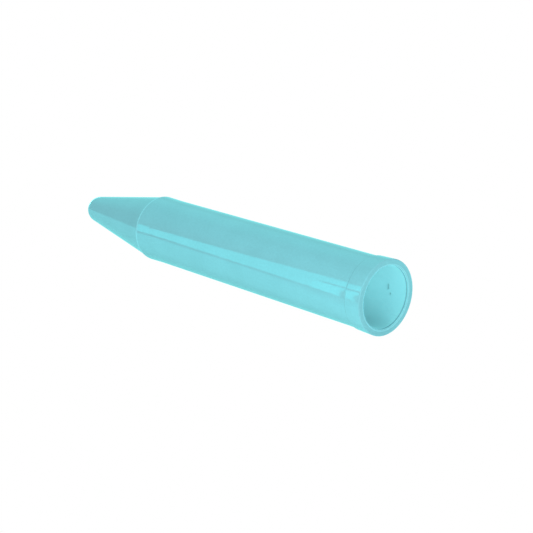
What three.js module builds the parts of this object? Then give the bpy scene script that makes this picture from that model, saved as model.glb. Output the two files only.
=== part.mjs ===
// A conical-bottom centrifuge tube without its cap, lying on its side.
// Millimetres, +Z up. The tube's axis runs along X with the open mouth at +X.
// The tube is one moulding, built here as the zones along its axis, which meet face to face.
// "along" is a distance from the end of the round tip, measured on the axis towards the mouth.
import * as THREE from 'three';

// Overall sizes
const tubeLength = 105;
const mouthRadius = 8.5;

// Mouth collar: thicker than the barrel, and flared a little towards the mouth
const collarLength = 4.6;
const collarFootRadius = 8.35;
const collarStepLength = 0.35;
const rimEdgeRound = 0.22;
const lipRound = 0.3;

// Barrel: a slight draft, so it slips off its mould
const barrelTopRadius = 8.1;
const barrelEndRadius = 8.0;
const boreMouthRadius = 7.0;
const boreEndRadius = 6.87;

// Shoulder: a low rounded bead where the cone begins
const coneLength = 28.6;
const shoulderLength = 2.2;
const beadRadius = 8.1;
const beadRound = 0.4;

// Cone and round tip
const coneBaseRadius = 7.88;
const coneWall = 1.1;
const tipRadius = 3.4;
const tipFloor = 1.3;
const tipZoneLength = 6;

// Facets round the axis, and in each quarter round of a profile
const turnSteps = 72;
const roundSteps = 4;
const tipSteps = 8;

// The cone's slope, from its base to the point where it meets the tip's ball
const baseToBall = coneLength - tipRadius;
const coneAngle =
  Math.atan2(coneBaseRadius, baseToBall) - Math.asin(tipRadius / Math.hypot(baseToBall, coneBaseRadius));
const coneSlope = Math.tan(coneAngle);
const coneRadius = (along) => coneBaseRadius - (coneLength - along) * coneSlope;
const coneBore = (along) => coneRadius(along) - coneWall / Math.cos(coneAngle);

// The bore's round bottom touches the bore's cone, one floor thickness above the tip
const bottomRadius =
  (tipRadius - coneWall + (tipFloor - tipRadius) * Math.sin(coneAngle)) / (1 - Math.sin(coneAngle));
const bottomCentre = tipFloor + bottomRadius;

// Where the zones meet
const barrelStart = coneLength + shoulderLength;
const collarStart = tubeLength - collarLength;

const aqua = new THREE.Color('#79cad6');

function tubeMaterial() {
  return new THREE.MeshStandardMaterial({ color: aqua, roughness: 0.22, metalness: 0 });
}

// Points on a circle in the half plane, from one angle to another, with 0 pointing away from the axis
function arc(centreRadius, centreAlong, radius, from, to, steps) {
  const points = [];
  for (let i = 0; i <= steps; i++) {
    const angle = from + ((to - from) * i) / steps;
    const r = centreRadius + radius * Math.cos(angle);
    const along = centreAlong + radius * Math.sin(angle);
    points.push(new THREE.Vector2(Math.max(r, 0), along));
  }
  return points;
}

const at = (radius, along) => new THREE.Vector2(radius, along);

// The bore's draft runs evenly from the mouth to where the bore's cone cuts it
function barrelBore(along) {
  const share = (along - coneLength) / (tubeLength - coneLength);
  return THREE.MathUtils.lerp(boreEndRadius, boreMouthRadius, share);
}

function barrelRadius(along) {
  const share = (along - barrelStart) / (collarStart - barrelStart);
  return THREE.MathUtils.lerp(barrelEndRadius, barrelTopRadius, share);
}

// A solid turned from an outline that runs up the outside and back down the inside
function turned(name, outline) {
  const geometry = new THREE.LatheGeometry(outline, turnSteps);
  geometry.rotateZ(-Math.PI / 2);
  geometry.translate(-tubeLength / 2, 0, 0);
  const mesh = new THREE.Mesh(geometry, tubeMaterial());
  mesh.name = name;
  return mesh;
}

// A ring's outline ends on the point that it starts from
function ring(name, points) {
  return turned(name, [...points, points[0]]);
}

function mouthCollar() {
  const quarter = Math.PI / 2;
  const edge = arc(mouthRadius - rimEdgeRound, tubeLength - rimEdgeRound, rimEdgeRound, 0, quarter, roundSteps);
  const lipCentre = boreMouthRadius + lipRound;
  const lip = arc(lipCentre, tubeLength - lipRound, lipRound, quarter, 2 * quarter, roundSteps);
  const foot = [
    at(barrelRadius(collarStart), collarStart),
    at(collarFootRadius, collarStart + collarStepLength),
  ];
  return ring('mouth_collar', [...foot, ...edge, ...lip, at(barrelBore(collarStart), collarStart)]);
}

function barrel() {
  return ring('barrel', [
    at(barrelRadius(barrelStart), barrelStart),
    at(barrelRadius(collarStart), collarStart),
    at(barrelBore(collarStart), collarStart),
    at(barrelBore(barrelStart), barrelStart),
  ]);
}

// The bead rolls up from the cone's base in a quarter round, then runs out into the barrel
function shoulderBead() {
  const roll = arc(beadRadius - beadRound, coneLength + beadRound, beadRound, -Math.PI / 3, 0, roundSteps);
  return ring('shoulder_bead', [
    at(coneBaseRadius, coneLength),
    ...roll.filter((point) => point.x > coneBaseRadius),
    at(beadRadius, coneLength + 2 * beadRound),
    at(barrelRadius(barrelStart), barrelStart),
    at(barrelBore(barrelStart), barrelStart),
    at(coneBore(coneLength), coneLength),
  ]);
}

function cone() {
  return ring('cone', [
    at(coneRadius(tipZoneLength), tipZoneLength),
    at(coneBaseRadius, coneLength),
    at(coneBore(coneLength), coneLength),
    at(coneBore(tipZoneLength), tipZoneLength),
  ]);
}

// The tip's outline starts and ends on the axis: up the ball and the cone, and down into the bore's bottom
function roundTip() {
  const quarter = Math.PI / 2;
  return turned('round_tip', [
    ...arc(0, tipRadius, tipRadius, -quarter, -coneAngle, tipSteps),
    at(coneRadius(tipZoneLength), tipZoneLength),
    at(coneBore(tipZoneLength), tipZoneLength),
    ...arc(0, bottomCentre, bottomRadius, -coneAngle, -quarter, tipSteps),
  ]);
}

const tube = new THREE.Group();
tube.add(mouthCollar(), barrel(), shoulderBead(), cone(), roundTip());

// The origin is under the middle of the tube, on the surface that the mouth's rim touches
tube.position.z = mouthRadius;

export default tube;
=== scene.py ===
import math

import bpy
import numpy as np
from mathutils import Matrix, Vector


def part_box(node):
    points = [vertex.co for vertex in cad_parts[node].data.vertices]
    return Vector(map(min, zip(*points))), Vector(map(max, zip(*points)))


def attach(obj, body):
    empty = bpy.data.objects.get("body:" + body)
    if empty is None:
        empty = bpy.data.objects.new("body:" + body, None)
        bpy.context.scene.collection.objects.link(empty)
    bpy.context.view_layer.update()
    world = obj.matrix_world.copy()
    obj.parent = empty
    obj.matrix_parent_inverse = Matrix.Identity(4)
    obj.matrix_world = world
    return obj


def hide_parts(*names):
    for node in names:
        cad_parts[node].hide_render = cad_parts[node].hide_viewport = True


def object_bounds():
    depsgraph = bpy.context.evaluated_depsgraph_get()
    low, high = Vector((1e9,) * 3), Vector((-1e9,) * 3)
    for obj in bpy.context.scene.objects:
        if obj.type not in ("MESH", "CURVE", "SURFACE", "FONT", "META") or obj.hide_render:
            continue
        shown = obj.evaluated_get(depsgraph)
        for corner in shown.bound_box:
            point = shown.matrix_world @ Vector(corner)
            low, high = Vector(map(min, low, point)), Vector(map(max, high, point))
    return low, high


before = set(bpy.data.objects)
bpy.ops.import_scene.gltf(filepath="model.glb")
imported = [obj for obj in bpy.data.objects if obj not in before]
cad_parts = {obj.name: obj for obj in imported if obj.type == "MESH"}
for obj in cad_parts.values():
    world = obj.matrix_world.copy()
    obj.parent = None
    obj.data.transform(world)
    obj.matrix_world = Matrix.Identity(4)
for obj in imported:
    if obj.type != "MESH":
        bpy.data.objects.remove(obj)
cadLow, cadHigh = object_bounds()
print("frame loaded")

mm = 0.001
scene = bpy.context.scene
scene.view_settings.view_transform = "Standard"


def linearColour(hexText):
    # sRGB hex to the linear colour that shaders read
    steps = np.array([int(hexText[i : i + 2], 16) for i in (1, 3, 5)]) / 255
    linear = np.where(steps <= 0.04045, steps / 12.92, ((steps + 0.055) / 1.055) ** 2.4)
    return (*linear.tolist(), 1.0)


def addNode(tree, kind, settings=None, links=None):
    # settings are properties, or input values by name or number. Links are the sockets that feed
    # inputs, and a node given there stands for its first output
    node = tree.nodes.new("ShaderNode" + kind)
    for name, value in (settings or {}).items():
        if isinstance(name, str) and hasattr(node, name):
            setattr(node, name, value)
        else:
            node.inputs[name].default_value = value
    for name, source in (links or {}).items():
        socket = source.outputs[0] if isinstance(source, bpy.types.Node) else source
        tree.links.new(socket, node.inputs[name])
    return node


def newMaterial(name):
    material = bpy.data.materials.new(name)
    material.use_nodes = True
    material.node_tree.nodes.clear()
    return material, material.node_tree


def turnedSurface(path, turnSteps):
    # each path point (height, radius) swings round the axis: height, radius * cos, radius * sin;
    # the first and last points lie on the axis and become single vertices, so both poles are closed
    turn = np.linspace(0, 2 * math.pi, turnSteps, endpoint=False)
    height = np.repeat(path[1:-1, 0], turnSteps).reshape(-1, turnSteps)
    across = path[1:-1, 1:] * np.cos(turn)
    up = path[1:-1, 1:] * np.sin(turn)
    rings = np.stack([height, across, up], axis=-1).reshape(-1, 3)
    poles = [[path[0, 0], 0, 0], [path[-1, 0], 0, 0]]
    points = np.concatenate([rings, poles])
    index = np.arange(len(rings)).reshape(-1, turnSteps)
    after = np.roll(index, -1, axis=1)
    quads = np.stack([index[:-1], after[:-1], after[1:], index[1:]], axis=-1).reshape(-1, 4)
    startFan = np.stack([np.full(turnSteps, len(rings)), after[0], index[0]], axis=-1)
    endFan = np.stack([np.full(turnSteps, len(rings) + 1), index[-1], after[-1]], axis=-1)
    return points, quads.tolist() + startFan.tolist() + endFan.tolist()


def meshPiece(name, points, faces, material, smooth=True):
    mesh = bpy.data.meshes.new(name)
    mesh.from_pydata((points * mm).tolist(), [], faces)
    mesh.polygons.foreach_set("use_smooth", np.full(len(mesh.polygons), smooth))
    mesh.materials.append(material)
    piece = bpy.data.objects.new(name, mesh)
    scene.collection.objects.link(piece)
    return piece


def roundedPath(corners):
    # corners are (along, radius, round) rows: each round is an arc that touches both of its sides, and
    # points that fall together become one
    spots, rounds = corners[:, :2], corners[:, 2]
    path = [spots[:1]]
    for before, corner, after, radius in zip(spots, spots[1:], spots[2:], rounds[1:]):
        toBefore = (before - corner) / np.linalg.norm(before - corner)
        toAfter = (after - corner) / np.linalg.norm(after - corner)
        half = math.acos(np.clip(toBefore @ toAfter, -1, 1)) / 2
        middle = (toBefore + toAfter) / np.linalg.norm(toBefore + toAfter)
        across = (toBefore - toAfter) / np.linalg.norm(toBefore - toAfter)
        reach = math.pi / 2 - half
        count = max(shell["leastArcSteps"], math.ceil(2 * reach * radius / shell["arcStep"]))
        sweep = np.linspace(reach, -reach, count + 1)[:, None]
        centre = corner + middle * radius / math.sin(half)
        path.append(centre - radius * (np.cos(sweep) * middle - np.sin(sweep) * across))
    path.append(spots[-1:])
    path = np.concatenate(path)
    apart = np.linalg.norm(np.diff(path, axis=0), axis=1) > shell["leastGap"]
    return path[np.concatenate([[True], apart])]


def withSupports(path):
    # long stretches get a ring close to each end, which keeps their shading true, and even rings between
    gap = shell["supportGap"]
    out = [path[:1]]
    for start, end in zip(path, path[1:]):
        length = np.linalg.norm(end - start)
        shares = np.array([1.0])
        if length > 4 * gap:
            count = math.ceil((length - 2 * gap) / shell["longestRing"])
            shares = np.append(np.linspace(gap, length - gap, count + 1) / length, 1.0)
        out.append(start + (end - start) * shares[:, None])
    return np.concatenate(out)


# One moulding, turned about the tube's axis. Lengths in mm. "Along" runs from the tip's end to the
# mouth. Radii and joints that the CAD's nodes show are read from their boxes. A fine round eases an
# edge, and a wide one is a bend that shows no line.
shell = {
    "turnSteps": 240,
    "arcStep": 0.2,
    "leastArcSteps": 6,
    "leastGap": 1e-5,
    "supportGap": 0.1,
    "longestRing": 2.0,
    "ballRadius": 3.4,
    "beadRadius": 8.1,
    "beadFoot": 0.17,
    "beadCrest": 0.7,
    "beadRunOut": 5.0,
    "barrelEndRadius": 8.0,
    "collarFootRadius": 8.35,
    "collarStep": 0.35,
    "boreMouthRadius": 7.0,
    "boreEndRadius": 6.87,
    "coneWall": 1.1,
    "tipFloor": 1.3,
    "fineRound": 0.12,
    "beadRound": 0.4,
    "rimEdgeRound": 0.22,
    "lipRound": 0.3,
    "wideRound": 3.0,
}

axisHeight = (cadHigh.z - cadLow.z) / 2 / mm
tipEnd = cadLow.x / mm
tubeLength = cadHigh.x / mm - tipEnd


def zoneEnds(node):
    # where a zone starts and ends along the tube, and its widest radius
    low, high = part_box(node)
    return low.x / mm - tipEnd, high.x / mm - tipEnd, (high.z - low.z) / 2 / mm


def shellPath():
    # up the outside from the tip's end, over the rim and down the bore. The cone's line touches the
    # tip's ball, and the bore's cone runs parallel to it
    collarStart, mouthAlong, mouthRadius = zoneEnds("mouth_collar")
    barrelStart, _, barrelTopRadius = zoneEnds("barrel")
    _, coneEnd, coneRadius = zoneEnds("cone")
    ball, fine, wide = shell["ballRadius"], shell["fineRound"], shell["wideRound"]
    toBall = coneEnd - ball
    slope = math.atan2(coneRadius, toBall) - math.asin(ball / math.hypot(coneRadius, toBall))
    tangent = math.tan(math.pi / 4 - slope / 2)
    boreCone = coneRadius - shell["coneWall"] / math.cos(slope)
    floorCorner = boreCone - (coneEnd - shell["tipFloor"]) * math.tan(slope)
    corners = [
        (0, 0, 0),
        (0, ball * tangent, ball),
        (coneEnd, coneRadius, fine),
        (coneEnd + shell["beadFoot"], shell["beadRadius"], shell["beadRound"]),
        (coneEnd + shell["beadCrest"], shell["beadRadius"], wide),
        (coneEnd + shell["beadRunOut"], shell["barrelEndRadius"], 2 * wide),
        (collarStart, barrelTopRadius, fine),
        (collarStart + shell["collarStep"], shell["collarFootRadius"], fine),
        (mouthAlong, mouthRadius, shell["rimEdgeRound"]),
        (mouthAlong, shell["boreMouthRadius"], shell["lipRound"]),
        (barrelStart, shell["boreEndRadius"], wide),
        (coneEnd, boreCone, wide),
        (shell["tipFloor"], floorCorner, floorCorner / tangent),
        (shell["tipFloor"], 0, 0),
    ]
    return withSupports(roundedPath(np.array(corners)))


# Polypropylene, injection moulded: a glossy skin from the polished mould over a milky, dyed body that
# passes light. Sizes in mm. The milkiness is a little uneven, with a few specks of undyed plastic, and
# draw lines run along the tube, where it slid off the core and out of the mould. A span is the part of
# a noise's range that is used.
plastic = {
    "body": "#7bc2cc",
    "through": "#d9dede",
    "glow": "#8ff0fb",
    "glowShare": 0.65,
    "markGlowShare": 0.57,
    "shineTint": "#00f0ff",
    "ior": 1.49,
    "roughness": (0.03, 0.07),
    "haze": {"width": 6.0, "detail": 2.0, "span": (0.35, 0.65)},
    "milkiness": [
        {"width": 7.0, "detail": 2.0, "span": (0.3, 0.7), "change": 0.05},  # clouds
        {"width": 0.5, "detail": 1.0, "span": (0.3, 0.7), "change": 0.05},  # grain
    ],
    "specks": {"spacing": 5.0, "radius": 0.16, "tone": 1.15},
    "drawLines": {"width": 1.4, "length": 60.0, "height": 0.006, "detail": 1.0},
    "polish": {"width": 0.5, "height": 0.0005, "detail": 1.0},  # drawn coarser than it is, to show
    # painted light: the bore's colour is made paler, standing in for light trapped inside the tube
    "paintedBoreLight": 1.4,
    "boreMargin": 0.06,
    "rimFade": (-0.35, -0.2),
}
# Rings of painted light and shade: painted highlights on the bead's edge and the lip, a painted shadow
# inside the mouth and painted light on the rim's face. "at" is the ring's middle, from the cone's base,
# the mouth or the axis, "half" is half its width, and "blur" is its soft edge
rings = {
    # painted highlight: a lighter ring round the bead's rounded edge
    "paintedBeadHighlight": {"from": "cone", "at": 0.4, "half": 0.25, "blur": 0.1, "on": "outside", "tone": 1.22},
    # painted shadow: a dark ring on the bore just inside the mouth, below the lip's round
    "paintedLipShadow": {"from": "mouth", "at": -0.45, "half": 0.2, "blur": 0.1, "on": "bore", "tone": 0.62},
    # painted highlight: a lighter ring on the lip's round at the mouth's inner edge
    "paintedLipHighlight": {"from": "axis", "at": 7.25, "half": 0.175, "blur": 0.075, "on": "rim", "tone": 1.28},
    # painted light: the rim's flat face is made a little lighter, standing in for light that comes
    # through the wall there
    "paintedRimLight": {"from": "axis", "at": 8.1, "half": 0.55, "blur": 0.1, "on": "rim", "tone": 1.07},
}


def toned(tree, tone, mask, amount):
    # the tone, times amount where the mask is 1 and unchanged where it is 0. A Map Range's inputs 1 to 4
    # are the span that it reads and the two values that it gives
    share = addNode(tree, "MapRange", {3: 1.0, 4: amount}, {0: mask})
    return addNode(tree, "Math", {"operation": "MULTIPLY"}, {0: tone, 1: share})


def milkyTone(tree, spot):
    # pale specks, times each layer of uneven milkiness
    specks = plastic["specks"]
    cells = addNode(tree, "TexVoronoi", {"Scale": 1 / specks["spacing"]}, {"Vector": spot})
    edge = specks["radius"] / specks["spacing"]
    tone = addNode(tree, "MapRange", {1: edge / 2, 2: edge, 3: specks["tone"], 4: 1.0}, {0: cells})
    for layer in plastic["milkiness"]:
        size = {"Scale": 1 / layer["width"], "Detail": layer["detail"]}
        noise = addNode(tree, "TexNoise", size, {"Vector": spot})
        low, high = layer["span"]
        change = layer["change"] / 2
        shade = addNode(tree, "MapRange", {1: low, 2: high, 3: 1 - change, 4: 1 + change}, {0: noise})
        tone = addNode(tree, "Math", {"operation": "MULTIPLY"}, {0: tone, 1: shade})
    return tone


def boreMask(tree, along, radius):
    # 1 where the radius is less than that of the wall's middle: a ball's at the tip, then a cone's, and
    # in the barrel a margin more than the bore's
    _, coneEnd, coneRadius = zoneEnds("cone")
    ball, halfWall = shell["ballRadius"], shell["coneWall"] / 2
    slope = (coneRadius - ball) / (coneEnd - ball)
    line = {"operation": "MULTIPLY_ADD", 1: slope, 2: coneRadius - halfWall - coneEnd * slope}
    middle = addNode(tree, "Math", line, {0: along})
    middle = addNode(tree, "Math", {"operation": "MAXIMUM", 1: ball - halfWall}, {0: middle})
    barrelWall = shell["boreMouthRadius"] + plastic["boreMargin"]
    middle = addNode(tree, "Math", {"operation": "MINIMUM", 1: barrelWall}, {0: middle})
    return addNode(tree, "Math", {"operation": "LESS_THAN"}, {0: radius, 1: middle})


def ringedTone(tree, tone, along, radius, inBore):
    # a ring's mask falls from 1 to 0 over its blur, by the distance from its middle
    _, coneEnd, _ = zoneEnds("cone")
    _, mouthAlong, _ = zoneEnds("mouth_collar")
    low, high = plastic["rimFade"]
    places = {
        "outside": addNode(tree, "Math", {"operation": "SUBTRACT", 0: 1.0}, {1: inBore}),
        "bore": inBore,
        "rim": addNode(tree, "MapRange", {1: mouthAlong + low, 2: mouthAlong + high}, {0: along}),
    }
    starts = {"cone": (along, coneEnd), "mouth": (along, mouthAlong), "axis": (radius, 0)}
    for ring in rings.values():
        measure, start = starts[ring["from"]]
        away = addNode(tree, "Math", {"operation": "SUBTRACT", 1: start + ring["at"]}, {0: measure})
        away = addNode(tree, "Math", {"operation": "ABSOLUTE"}, {0: away})
        ends = {1: ring["half"] + ring["blur"], 2: ring["half"] - ring["blur"]}
        band = addNode(tree, "MapRange", ends, {0: away})
        band = addNode(tree, "Math", {"operation": "MULTIPLY"}, {0: band, 1: places[ring["on"]]})
        tone = toned(tree, tone, band, ring["tone"])
    return tone


def mouldRelief(tree, spot):
    # the draw lines' noise is stretched along the tube. A noise keeps to the middle half of its range,
    # so each is doubled to reach its height
    lines, polish = plastic["drawLines"], plastic["polish"]
    stretch = {"Scale": (lines["width"] / lines["length"], 1, 1)}
    stretched = addNode(tree, "Mapping", stretch, {"Vector": spot})
    size = {"Scale": 1 / lines["width"], "Detail": lines["detail"]}
    lineNoise = addNode(tree, "TexNoise", size, {"Vector": stretched})
    size = {"Scale": 1 / polish["width"], "Detail": polish["detail"]}
    polishNoise = addNode(tree, "TexNoise", size, {"Vector": spot})
    fine = addNode(tree, "Math", {"operation": "MULTIPLY", 1: 2 * polish["height"]}, {0: polishNoise})
    height = {"operation": "MULTIPLY_ADD", 1: 2 * lines["height"]}
    relief = addNode(tree, "Math", height, {0: lineNoise, 2: fine})
    return addNode(tree, "Bump", {"Distance": mm}, {"Height": relief})


def mouldedPolypropylene(name, glowShare):
    material, tree = newMaterial(name)
    place = addNode(tree, "TexCoord").outputs["Object"]
    # spot is in mm from the tip's end, with X on the tube's axis
    toTip = {"Location": (-tipEnd, 0, -axisHeight), "Scale": (1 / mm, 1 / mm, 1 / mm)}
    spot = addNode(tree, "Mapping", toTip, {"Vector": place})
    along = addNode(tree, "SeparateXYZ", links={0: spot}).outputs["X"]
    # radius is the distance from the ball's centre at the tip, and from the axis past it
    toBall = {"operation": "SUBTRACT", 1: (shell["ballRadius"], 0, 0)}
    fromBall = addNode(tree, "VectorMath", toBall, {0: spot})
    beyond = {"operation": "MINIMUM", 1: (0, tubeLength, tubeLength)}
    across = addNode(tree, "VectorMath", beyond, {0: fromBall})
    radius = addNode(tree, "VectorMath", {"operation": "LENGTH"}, {0: across}).outputs["Value"]

    inBore = boreMask(tree, along, radius)
    # painted light: the bore is made paler, standing in for the light trapped in it
    tone = toned(tree, milkyTone(tree, spot), inBore, plastic["paintedBoreLight"])  # paler for the trapped light
    tone = ringedTone(tree, tone, along, radius, inBore)
    colours = {}
    for part in ("body", "glow"):
        dye = {"operation": "MULTIPLY", 0: linearColour(plastic[part])[:3]}
        colours[part] = addNode(tree, "VectorMath", dye, {1: tone})

    haze = plastic["haze"]
    size = {"Scale": 1 / haze["width"], "Detail": haze["detail"]}
    patches = addNode(tree, "TexNoise", size, {"Vector": spot})
    (low, high), (smooth, dull) = haze["span"], plastic["roughness"]
    roughness = addNode(tree, "MapRange", {1: low, 2: high, 3: smooth, 4: dull}, {0: patches})
    skin = addNode(
        tree,
        "BsdfPrincipled",
        {"IOR": plastic["ior"], "Specular Tint": linearColour(plastic["shineTint"])},
        {"Base Color": colours["body"], "Roughness": roughness, "Normal": mouldRelief(tree, spot)},
    )
    # the bore also shows the light that comes through its own wall, so it darkens where the tube lies
    # on the table
    lit = addNode(tree, "BsdfTranslucent", links={"Color": colours["glow"]})
    share = addNode(tree, "Math", {"operation": "MULTIPLY", 1: glowShare}, {0: inBore})
    seen = addNode(tree, "MixShader", links={0: share, 1: skin, 2: lit})
    # light that falls on a wall goes on through it, scattered, and so reaches the bore from all round
    through = addNode(tree, "BsdfTranslucent", {"Color": linearColour(plastic["through"])})
    ray = addNode(tree, "LightPath").outputs
    sights = {0: ray["Is Camera Ray"], 1: ray["Is Glossy Ray"]}
    sight = addNode(tree, "Math", {"operation": "MAXIMUM"}, sights)
    passing = addNode(tree, "Math", {"operation": "SUBTRACT", 0: 1.0}, {1: sight})
    both = addNode(tree, "MixShader", links={0: passing, 1: seen, 2: through})
    addNode(tree, "OutputMaterial", links={"Surface": both})
    return material


def makeShell(material):
    points, faces = turnedSurface(shellPath(), shell["turnSteps"])
    points += (tipEnd, 0, axisHeight)
    tube = meshPiece("tubeShell", points, faces, material)
    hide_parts("mouth_collar", "barrel", "shoulder_bead", "cone", "round_tip")
    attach(tube, "root")


# Mould mark: a plain raised bar and dot inside the mouth, in mm and degrees round the axis from +Y.
# Each profile row is a share of the height and the outline's share of its full size there. The first
# row sinks into the wall.
mark = {
    "depth": 5.8,
    "bar": {"around": -7.7, "along": 0.0, "half": (0.17, 0.62)},
    "dot": {"around": -19.5, "along": 0.85, "half": (0.22, 0.22)},
    "height": 0.12,
    "sink": 0.3,
    "profile": [(0.0, 1.0), (0.55, 1.0), (0.85, 0.88), (1.0, 0.68)],
    "steps": 32,
}


def raisedPad(pad, wallRadius, mouthAlong):
    # an outline swings round its own centre: a circle's point plus the straight part of a bar, shrunk
    # by each profile row's share. Height stands off the bore's wall, and the arc length over the
    # wall's radius gives the angle round the axis
    across, lengthwise = pad["half"]
    straight = lengthwise - across
    turn = np.linspace(0, 2 * math.pi, mark["steps"], endpoint=False)
    outline = np.stack([across * np.cos(turn), across * np.sin(turn) + straight * np.sign(np.sin(turn))])
    height, sink = mark["height"], mark["sink"]
    rows = np.array(mark["profile"]) * (height, 1)
    rows[0, 0] = -sink
    rings = [outline * share for share in rows[:, 1]]
    spots = np.concatenate([ring.T for ring in rings] + [np.zeros((2, 2))])
    stand = np.concatenate([np.repeat(rows[:, 0], mark["steps"]), [-sink, height]])
    angle = math.radians(pad["around"]) + spots[:, 1] / wallRadius
    along = mouthAlong - mark["depth"] + pad["along"] + spots[:, 0]
    reach = wallRadius - stand
    points = np.stack([along, reach * np.cos(angle), reach * np.sin(angle)], axis=-1)
    index = np.arange(len(rows) * mark["steps"]).reshape(len(rows), -1)
    after = np.roll(index, -1, axis=1)
    quads = np.stack([index[:-1], after[:-1], after[1:], index[1:]], axis=-1).reshape(-1, 4)
    under, top = index.size, index.size + 1
    underFan = np.stack([np.full(mark["steps"], under), after[0], index[0]], axis=-1)
    topFan = np.stack([np.full(mark["steps"], top), index[-1], after[-1]], axis=-1)
    return points, quads.tolist() + underFan.tolist() + topFan.tolist()


def makeMark(material):
    _, mouthAlong, _ = zoneEnds("mouth_collar")
    for name in ("bar", "dot"):
        points, faces = raisedPad(mark[name], shell["boreMouthRadius"], mouthAlong)
        points += (tipEnd, 0, axisHeight)
        piece = meshPiece("mouldMark_" + name, points, faces, material)
        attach(piece, "root")


makeShell(mouldedPolypropylene("mouldedPolypropylene", plastic["glowShare"]))
makeMark(mouldedPolypropylene("mouldedPolypropyleneMark", plastic["markGlowShare"]))
print("tube made")

# Floor: a white, brightly lit table. The camera sees it as an even white, so no shadow shows on it, and
# the lift adds to the light that it throws back on the tube
floor = {"size": 6000.0, "paint": "#f4f5f5", "shown": 1.0, "lift": 0.1}


def makeFloor():
    material, tree = newMaterial("paleMattFloor")
    paint = addNode(tree, "BsdfDiffuse", {"Color": linearColour(floor["paint"])})
    lift = addNode(tree, "Emission", {"Strength": floor["lift"]})
    lit = addNode(tree, "AddShader", links={0: paint, 1: lift})
    white = addNode(tree, "Emission", {"Strength": floor["shown"]})
    isCamera = addNode(tree, "LightPath").outputs["Is Camera Ray"]
    both = addNode(tree, "MixShader", links={0: isCamera, 1: lit, 2: white})
    addNode(tree, "OutputMaterial", links={"Surface": both})
    half = floor["size"] / 2
    points = np.array([(-half, -half, 0), (half, -half, 0), (half, half, 0), (-half, half, 0)])
    plane = meshPiece("floor", points, [(0, 1, 2, 3)], material, smooth=False)
    plane.visible_glossy = False  # the surround's lower half stands for the table in reflections


makeFloor()

# Light: an even white surround, two soft lamps low in front, and white cards that only reflections show:
# a long one in front of the tip's end, two at that one's near end, and a small one beyond the tip. A
# card runs from its near end to its far end and stands up from its foot. Lengths in mm, and the
# backdrop's turn in degrees.
lamps = {
    "lamp": {"place": (150, -220, 14), "aim": (40, 0, 8), "size": 90, "radiance": 8.0},
    "lampAtMouth": {"place": (92, -72, 14), "aim": (48, 0, 8), "size": 30, "radiance": 2.1},
}
cards = {
    "card": {"near": (-15, -65), "far": (-203, -158), "foot": 1, "height": 62, "glow": 3.5},
    "cardEndLow": {"near": (5, -55), "far": (-15, -65), "foot": 1, "height": 27, "glow": 4.4},
    "cardEndHigh": {"near": (5, -55), "far": (-15, -65), "foot": 33, "height": 30, "glow": 4.2},
    "cardBehind": {"near": (-123, 4), "far": (-113, 40), "foot": 1, "height": 16, "glow": 5.0},
}
surround = {"tint": "#8fffff", "backdropTurn": 138.2, "tableTilt": 0.196, "shown": 1.0}
# Each ramp runs between two glows as its measure runs over a span. A direction's measures are its
# height, how far it turns towards the backdrop, and its height over the table's edge, which tilts.
# "even" lights the tube, and the others are what its gloss reflects.
ramps = {
    "even": {"measure": "height", "span": (0.0, 1.0), "glow": (0.84, 0.94), "ease": "LINEAR"},
    "backdrop": {"measure": "towards", "span": (0.5, 0.95), "glow": (0.15, 1.0), "ease": "SMOOTHSTEP"},
    "ceiling": {"measure": "height", "span": (0.3, 0.65), "glow": (0.0, 0.9), "ease": "LINEAR"},
    "table": {"measure": "towards", "span": (0.12, 0.55), "glow": (2.2, 1.1), "ease": "LINEAR"},
    "tableFront": {"measure": "towards", "span": (-0.05, 0.08), "glow": (0.15, 1.0), "ease": "LINEAR"},
    "onTable": {"measure": "overEdge", "span": (-0.138, -0.162), "glow": (0.0, 1.0), "ease": "LINEAR"},
}


def makeLamp(name, lamp):
    data = bpy.data.lights.new(name, "AREA")
    data.size = lamp["size"] * mm
    data.energy = lamp["radiance"] * math.pi * data.size**2
    holder = bpy.data.objects.new(name, data)
    place, aim = Vector(lamp["place"]) * mm, Vector(lamp["aim"]) * mm
    holder.location = place
    holder.rotation_euler = (aim - place).to_track_quat("-Z", "Y").to_euler()
    holder.visible_camera = holder.visible_glossy = False
    scene.collection.objects.link(holder)


def makeCard(name, card):
    material, tree = newMaterial(name + "Glow")
    glow = {"Color": linearColour(surround["tint"]), "Strength": card["glow"]}
    addNode(tree, "OutputMaterial", links={"Surface": addNode(tree, "Emission", glow)})
    material.cycles.emission_sampling = "NONE"
    low, high = card["foot"], card["foot"] + card["height"]
    points = np.array([(*card[end], z) for z in (low, high) for end in ("near", "far")], float)
    sheet = meshPiece(name, points, [(0, 1, 3, 2)], material, smooth=False)
    sheet.visible_camera = sheet.visible_diffuse = sheet.visible_transmission = False
    sheet.visible_shadow = False


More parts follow.
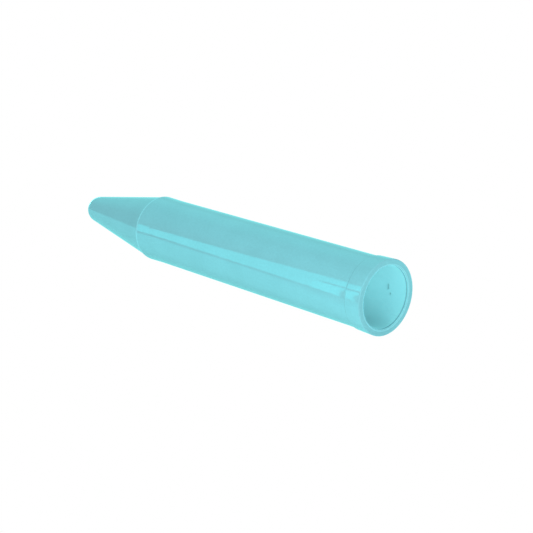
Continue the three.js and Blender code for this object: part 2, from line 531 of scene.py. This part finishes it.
def makeSurround():
    world = bpy.data.worlds.new("surround")
    world.use_nodes = True
    tree = world.node_tree
    tree.nodes.clear()
    direction = addNode(tree, "TexCoord").outputs["Generated"]
    height = addNode(tree, "SeparateXYZ", links={0: direction}).outputs["Z"]
    turn = math.radians(surround["backdropTurn"])
    backdropSide = {"operation": "DOT_PRODUCT", 1: (math.cos(turn), math.sin(turn), 0)}
    towards = addNode(tree, "VectorMath", backdropSide, {0: direction}).outputs["Value"]
    tilt = {"operation": "MULTIPLY_ADD", 1: -surround["tableTilt"]}
    overEdge = addNode(tree, "Math", tilt, {0: towards, 2: height})
    measures = {"height": height, "towards": towards, "overEdge": overEdge}
    glows = {}
    for name, ramp in ramps.items():
        (low, high), (before, after) = ramp["span"], ramp["glow"]
        ends = {"interpolation_type": ramp["ease"], 1: low, 2: high, 3: before, 4: after}
        glows[name] = addNode(tree, "MapRange", ends, {0: measures[ramp["measure"]]})
    room = addNode(tree, "Math", {"operation": "ADD"}, {0: glows["backdrop"], 1: glows["ceiling"]})
    table = addNode(tree, "Math", {"operation": "MULTIPLY"}, {0: glows["table"], 1: glows["tableFront"]})
    shine = addNode(tree, "Mix", {"data_type": "FLOAT"}, {0: glows["onTable"], 2: room, 3: table})
    even = addNode(tree, "Background", {"Color": (1, 1, 1, 1)}, {"Strength": glows["even"]})
    tint = {"Color": linearColour(surround["tint"])}
    mirrored = addNode(tree, "Background", tint, {"Strength": shine})
    white = addNode(tree, "Background", {"Color": (1, 1, 1, 1), "Strength": surround["shown"]})
    ray = addNode(tree, "LightPath").outputs
    lit = addNode(tree, "MixShader", links={0: ray["Is Glossy Ray"], 1: even, 2: mirrored})
    shown = addNode(tree, "MixShader", links={0: ray["Is Camera Ray"], 1: lit, 2: white})
    addNode(tree, "OutputWorld", links={"Surface": shown})
    scene.world = world


for lampName, lampSettings in lamps.items():
    makeLamp(lampName, lampSettings)
for cardName, cardSettings in cards.items():
    makeCard(cardName, cardSettings)
makeSurround()
print("lights made")

# Camera: looks down into the mouth from the front right. Angles in degrees, lengths in mm
camera = {
    "azimuth": 48.16,
    "elevation": 20.09,
    "roll": -3.6,
    "distance": 323.6,
    "aim": (8.0, 6.3, 3.6),
    "lens": 91.3,
    "nearest": 10,
}


def makeCamera():
    turn, rise, roll = (math.radians(camera[k]) for k in ("azimuth", "elevation", "roll"))
    back = Vector((math.sin(turn) * math.cos(rise), -math.cos(turn) * math.cos(rise), math.sin(rise)))
    level = Vector((math.cos(turn), math.sin(turn), 0))
    up = back.cross(level)
    right = level * math.cos(roll) + up * math.sin(roll)
    data = bpy.data.cameras.new("camera")
    data.lens = camera["lens"]
    data.clip_start = camera["nearest"] * mm
    holder = bpy.data.objects.new("camera", data)
    spot = Vector(camera["aim"]) * mm + back * camera["distance"] * mm
    axes = Matrix((right, back.cross(right), back)).transposed()
    holder.matrix_world = Matrix.Translation(spot) @ axes.to_4x4()
    scene.collection.objects.link(holder)
    scene.camera = holder


makeCamera()
print("camera made")
